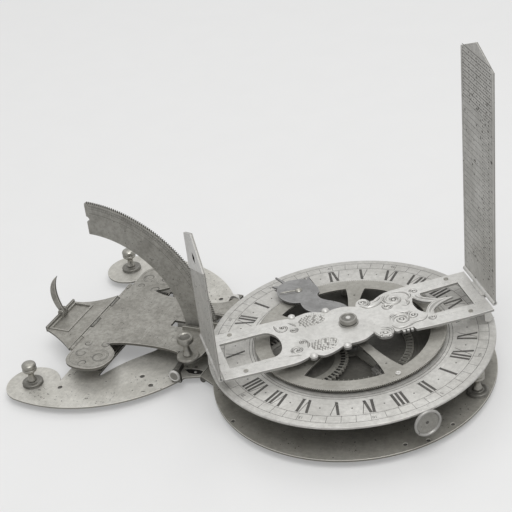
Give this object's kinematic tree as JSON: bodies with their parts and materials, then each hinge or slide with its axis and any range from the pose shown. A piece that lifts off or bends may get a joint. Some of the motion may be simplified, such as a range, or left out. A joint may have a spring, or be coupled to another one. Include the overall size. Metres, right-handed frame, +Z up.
{
  "type": "folding sundial",
  "caption": "Folding universal sundial: round dial with sighting rule and hinged sights over a hinged base, tilted along a toothed latitude arc.",
  "frame": {"origin": "on the dial's axis, at the underside of the round base plate", "axes": "+X from the dial's centre away from the fold, so the stand lies at minus X; +Y to the back of the instrument as pictured; +Z up along the dial's axis"},
  "size_m": [0.2467, 0.1444, 0.1624],
  "materials": {
    "brass": "old brass, worn and spotted",
    "silvered_brass": "pale, once silvered brass, engraved",
    "steel": "dull bright steel",
    "dark_steel": "darkened steel"
  },
  "bodies": {
    "stand": {"stand_plate": "brass", "cross_bar": "brass", "riser_front": "brass", "riser_back": "brass", "plumb_plate": "brass", "plumb_rim": "brass", "horn_pin": "steel", "latitude_arc": "brass", "arc_foot": "brass", "pivot_lug_front": "brass", "pivot_lug_back": "brass", "pivot_screw_front": "brass", "pivot_screw_back": "brass", "stand_knuckle_1": "brass", "stand_knuckle_3": "brass", "stand_knuckle_5": "brass", "fold_pin": "steel", "tilt_pin": "steel", "screw_boss_front": "brass", "screw_boss_back": "brass"},
    "round_plate": {"base_plate": "brass", "base_knuckle_2": "brass", "base_knuckle_4": "brass", "screw_boss_right": "brass"},
    "levelling_front": {"screw_front": "brass"},
    "levelling_back": {"screw_back": "brass"},
    "levelling_right": {"screw_right": "brass"},
    "tilt_frame": {"tilt_plate": "brass", "cheek_front": "dark_steel", "cheek_back": "dark_steel", "clamp_boss": "brass", "under_plate": "brass", "pillar_1": "brass", "pillar_2": "brass", "pillar_3": "brass", "pillar_4": "brass", "hour_ring": "silvered_brass", "shaft_bearing": "brass", "gear_cock": "brass"},
    "arc_pinion": {"pinion": "steel"},
    "clamp": {"clamp_screw": "brass"},
    "knob": {"drive_knob": "brass"},
    "spur": {"spur_gear": "brass"},
    "wheel": {"hour_wheel": "brass", "wheel_screw": "silvered_brass", "arbor": "steel", "collar": "steel", "crown_wheel": "brass", "centre_nut": "brass", "alidade": "silvered_brass", "edge_hook": "silvered_brass", "right_vane_pin": "steel", "left_vane_pin": "steel"},
    "hand": {"set_hand": "steel", "hand_stud": "steel"},
    "high_sight": {"right_vane": "silvered_brass"},
    "low_sight": {"left_vane": "silvered_brass", "slit_plate": "silvered_brass"},
    "horn": {"plumb_horn": "brass"}
  },
  "joints": [
    {"name": "fold", "type": "hinge", "parent": "stand", "child": "round_plate", "pos_m": [-0.073, 0, -0.0022], "axis": [0, 1, 0], "range_deg": [0, 180]},
    {"name": "level_front", "type": "hinge", "parent": "stand", "child": "levelling_front", "pos_m": [-0.15667, -0.05601, 0], "axis": [0, 0, 1], "range_deg": [-1080, 1080]},
    {"name": "level_back", "type": "hinge", "parent": "stand", "child": "levelling_back", "pos_m": [-0.1615, 0.05689, 0], "axis": [0, 0, 1], "range_deg": [-1080, 1080]},
    {"name": "level_right", "type": "hinge", "parent": "round_plate", "child": "levelling_right", "pos_m": [0.065, -0.003, 0], "axis": [0, 0, 1], "range_deg": [-1080, 1080]},
    {"name": "tilt", "type": "hinge", "parent": "stand", "child": "tilt_frame", "pos_m": [-0.144, 0, 0.01045], "axis": [0, -1, 0], "range_deg": [0, 75]},
    {"name": "pinion_turn", "type": "hinge", "parent": "tilt_frame", "child": "arc_pinion", "pos_m": [-0.07127, 0, 0.0149], "axis": [0, -1, 0], "range_deg": [0, 1500]},
    {"name": "clamp_turn", "type": "hinge", "parent": "tilt_frame", "child": "clamp", "pos_m": [-0.0794, -0.0252, 0.0112], "axis": [0, 0, 1], "range_deg": [0, 540]},
    {"name": "wheel_turn", "type": "hinge", "parent": "tilt_frame", "child": "wheel", "pos_m": [0, 0, 0.0224], "axis": [0, 0, 1], "continuous": true},
    {"name": "knob_turn", "type": "hinge", "parent": "tilt_frame", "child": "knob", "pos_m": [0.03773, -0.0328, 0.01652], "axis": [0.7547, -0.6561, 0], "continuous": true},
    {"name": "spur_turn", "type": "hinge", "parent": "tilt_frame", "child": "spur", "pos_m": [-0.01853, -0.02058, 0.016], "axis": [0, 0, 1], "continuous": true},
    {"name": "hand_turn", "type": "hinge", "parent": "wheel", "child": "hand", "pos_m": [0, 0, 0.0247], "axis": [0, 0, 1], "continuous": true},
    {"name": "high_sight_fold", "type": "hinge", "parent": "wheel", "child": "high_sight", "pos_m": [0.05339, 0.0448, 0.0294], "axis": [0.6428, -0.766, 0], "range_deg": [0, 88]},
    {"name": "low_sight_fold", "type": "hinge", "parent": "wheel", "child": "low_sight", "pos_m": [-0.05339, -0.0448, 0.0294], "axis": [0.6428, -0.766, 0], "range_deg": [-84, 0]},
    {"name": "horn_fold", "type": "hinge", "parent": "stand", "child": "horn", "pos_m": [-0.16535, -0.008, 0.0133], "axis": [0, -1, 0], "range_deg": [-82, 0]}
  ],
  "couplings": [
    {"joint": "pinion_turn", "follows": "tilt", "ratio": 20},
    {"joint": "knob_turn", "follows": "wheel_turn", "ratio": 12},
    {"joint": "spur_turn", "follows": "wheel_turn", "ratio": -0.2}
  ]
}
